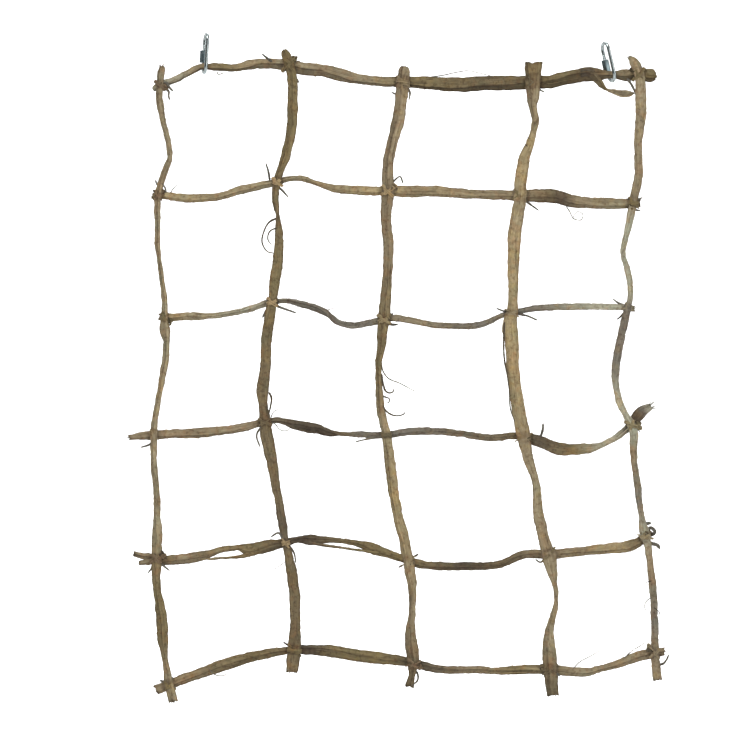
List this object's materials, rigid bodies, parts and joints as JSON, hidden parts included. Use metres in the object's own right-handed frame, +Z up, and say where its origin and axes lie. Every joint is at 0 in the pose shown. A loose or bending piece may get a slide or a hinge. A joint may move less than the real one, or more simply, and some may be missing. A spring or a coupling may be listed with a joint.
{
  "type": "cargo climbing net",
  "caption": "Hanging climbing net of flat bark strips lashed with twine at every crossing, hung by its top strip from two steel quick links with sleeve nuts.",
  "frame": {"origin": "inside top of the left quick link's upper bend, where the net is hung from", "axes": "+Z up, +X along the crosspieces towards the right link, +Y from the front of the net, where the uprights are, to its back"},
  "size_m": [0.658, 0.0226, 0.8225],
  "materials": {
    "bark_upright": "matt, fibrous dried bark, khaki brown",
    "bark_crosspiece": "matt, fibrous dried bark, darker brown",
    "twine": "matt, light tan plant-fibre twine",
    "link_steel": "bright zinc-plated wire",
    "nut_steel": "zinc-plated hexagonal sleeve nut"
  },
  "bodies": {
    "left_link": {"left_link_body": "link_steel"},
    "left_nut": {"left_link_nut": "nut_steel"},
    "row_1": {"crosspiece_1": "bark_crosspiece", "upright_1_row_1": "bark_upright", "upright_2_row_1": "bark_upright", "upright_3_row_1": "bark_upright", "upright_4_row_1": "bark_upright", "upright_5_row_1": "bark_upright", "lashings_row_1": "twine"},
    "row_2": {"crosspiece_2": "bark_crosspiece", "upright_1_row_2": "bark_upright", "upright_2_row_2": "bark_upright", "upright_3_row_2": "bark_upright", "upright_4_row_2": "bark_upright", "upright_5_row_2": "bark_upright", "lashings_row_2": "twine"},
    "row_3": {"crosspiece_3": "bark_crosspiece", "upright_1_row_3": "bark_upright", "upright_2_row_3": "bark_upright", "upright_3_row_3": "bark_upright", "upright_4_row_3": "bark_upright", "upright_5_row_3": "bark_upright", "lashings_row_3": "twine"},
    "row_4": {"crosspiece_4": "bark_crosspiece", "upright_1_row_4": "bark_upright", "upright_2_row_4": "bark_upright", "upright_3_row_4": "bark_upright", "upright_4_row_4": "bark_upright", "upright_5_row_4": "bark_upright", "lashings_row_4": "twine"},
    "row_5": {"crosspiece_5": "bark_crosspiece", "upright_1_row_5": "bark_upright", "upright_2_row_5": "bark_upright", "upright_3_row_5": "bark_upright", "upright_4_row_5": "bark_upright", "upright_5_row_5": "bark_upright", "lashings_row_5": "twine"},
    "row_6": {"crosspiece_6": "bark_crosspiece", "upright_1_row_6": "bark_upright", "upright_2_row_6": "bark_upright", "upright_3_row_6": "bark_upright", "upright_4_row_6": "bark_upright", "upright_5_row_6": "bark_upright", "lashings_row_6": "twine"},
    "right_link": {"right_link_body": "link_steel"},
    "right_nut": {"right_link_nut": "nut_steel"}
  },
  "joints": [
    {"name": "net_swing", "type": "hinge", "parent": "left_link", "child": "row_1", "pos_m": [-0.00227, 0, -0.03758], "axis": [0.9998, 0, -0.0206], "range_deg": [-40, 40]},
    {"name": "right_link_swing", "type": "hinge", "parent": "row_1", "child": "right_link", "pos_m": [0.498, 0, -0.0479], "axis": [0.9998, 0, -0.0206], "range_deg": [-40, 40]},
    {"name": "left_nut_travel", "type": "slide", "parent": "left_link", "child": "left_nut", "axis": [0.061, 0, 0.9981], "range_m": [0, 0.011]},
    {"name": "right_nut_travel", "type": "slide", "parent": "right_link", "child": "right_nut", "axis": [-0.225, 0, 0.9744], "range_m": [0, 0.011]},
    {"name": "fold_1", "type": "hinge", "parent": "row_1", "child": "row_2", "pos_m": [0.245, -0.0036, -0.122], "axis": [1, 0, 0], "range_deg": [-60, 60]},
    {"name": "fold_2", "type": "hinge", "parent": "row_2", "child": "row_3", "pos_m": [0.245, -0.0036, -0.267], "axis": [1, 0, 0], "range_deg": [-60, 60]},
    {"name": "fold_3", "type": "hinge", "parent": "row_3", "child": "row_4", "pos_m": [0.245, -0.0036, -0.413], "axis": [1, 0, 0], "range_deg": [-60, 60]},
    {"name": "fold_4", "type": "hinge", "parent": "row_4", "child": "row_5", "pos_m": [0.245, -0.0036, -0.559], "axis": [1, 0, 0], "range_deg": [-60, 60]},
    {"name": "fold_5", "type": "hinge", "parent": "row_5", "child": "row_6", "pos_m": [0.245, -0.0036, -0.702], "axis": [1, 0, 0], "range_deg": [-60, 60]}
  ],
  "couplings": [
    {"joint": "right_link_swing", "follows": "net_swing", "ratio": -1}
  ]
}
